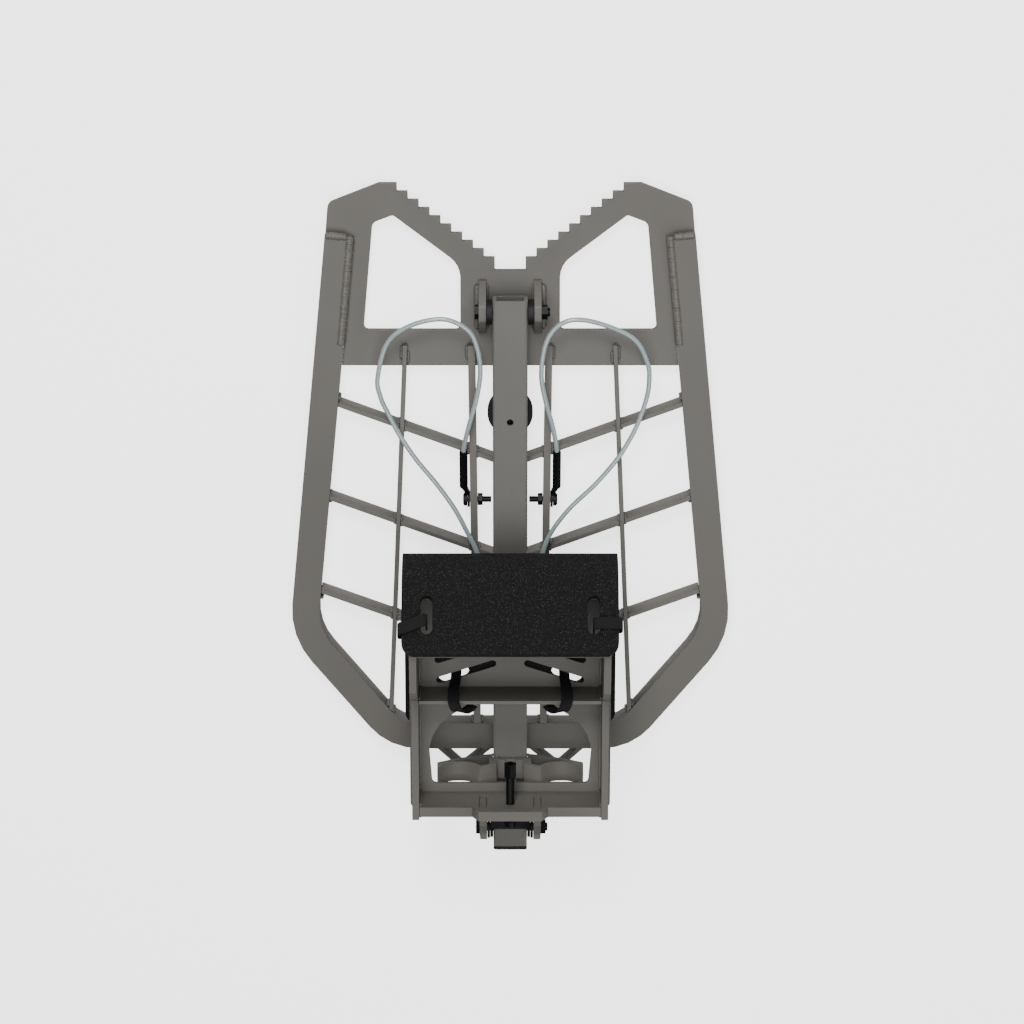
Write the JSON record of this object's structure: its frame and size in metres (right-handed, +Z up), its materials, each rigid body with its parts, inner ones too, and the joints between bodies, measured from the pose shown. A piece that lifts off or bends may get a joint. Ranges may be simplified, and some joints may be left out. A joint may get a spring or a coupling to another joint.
{
  "type": "hang-on tree stand",
  "caption": "Folding tree stand with a ribbed standing platform, toothed tree plate, support post, stay cables and a flip-down padded seat, folded flat.",
  "frame": {"origin": "middle of the bounding box, at the underside of the platform frame", "axes": "+Y towards the toothed tree end, +Z up from the platform, X across; symmetrical about X = 0"},
  "size_m": [0.4882, 0.7688, 0.2178],
  "materials": {
    "paint": "satin grey-brown powder coat",
    "black_hardware": "black oxide",
    "rubber": "matte",
    "black_plastic": "matte",
    "foam": "closed-cell foam, speckled",
    "webbing": "woven",
    "coated_cable": "vinyl-coated steel cable"
  },
  "bodies": {
    "platform": {"frame_bow": "paint", "v_plate": "paint", "rib_upper": "paint", "rib_middle": "paint", "rib_lower": "paint", "outer_bar_left": "paint", "outer_bar_right": "paint", "inner_bar_left": "paint", "inner_bar_right": "paint", "front_bar_left": "paint", "front_bar_right": "paint", "hinge_ear_left": "paint", "hinge_ear_right": "paint", "hinge_bolt": "black_hardware", "hinge_nut": "black_hardware", "lower_terminal_left": "black_hardware", "lower_terminal_right": "black_hardware", "cable_bolt_left": "black_hardware", "cable_bolt_right": "black_hardware", "cable_nut_left": "black_hardware", "cable_nut_right": "black_hardware", "stay_cable_left": "coated_cable", "stay_cable_right": "coated_cable"},
    "post": {"post_tube": "paint", "post_cap": "black_plastic", "hinge_bushing_left": "black_plastic", "hinge_bushing_right": "black_plastic", "rubber_bumper": "rubber", "tree_bracket": "paint", "pivot_saddle": "black_plastic", "upper_terminal_left": "black_hardware", "upper_terminal_right": "black_hardware", "anchor_bolt": "black_hardware", "anchor_nut": "black_hardware"},
    "seat": {"seat_pan": "paint", "seat_pad": "foam", "seat_side_left": "paint", "seat_side_right": "paint", "seat_cross_rib": "paint", "seat_rear_plate": "paint", "pivot_ear_left": "paint", "pivot_ear_right": "paint", "pivot_bolt": "black_hardware", "pivot_nut": "black_hardware", "pivot_washer_left": "black_plastic", "pivot_washer_right": "black_plastic", "levelling_nut": "black_hardware", "side_strap_left": "webbing", "side_strap_right": "webbing", "pan_strap_left": "webbing", "pan_strap_right": "webbing"},
    "levelling_bolt": {"levelling_bolt": "black_hardware"}
  },
  "joints": [
    {"name": "post_fold", "type": "hinge", "parent": "platform", "child": "post", "pos_m": [0, 0.2466, 0.0394], "axis": [-1, 0, 0], "range_deg": [0, 90]},
    {"name": "seat_flip", "type": "hinge", "parent": "post", "child": "seat", "pos_m": [0, -0.3612, 0.0394], "axis": [1, 0, 0], "range_deg": [0, 270]},
    {"name": "levelling_slide", "type": "slide", "parent": "seat", "child": "levelling_bolt", "axis": [0, -1, 0], "range_m": [0, 0.0218]}
  ]
}
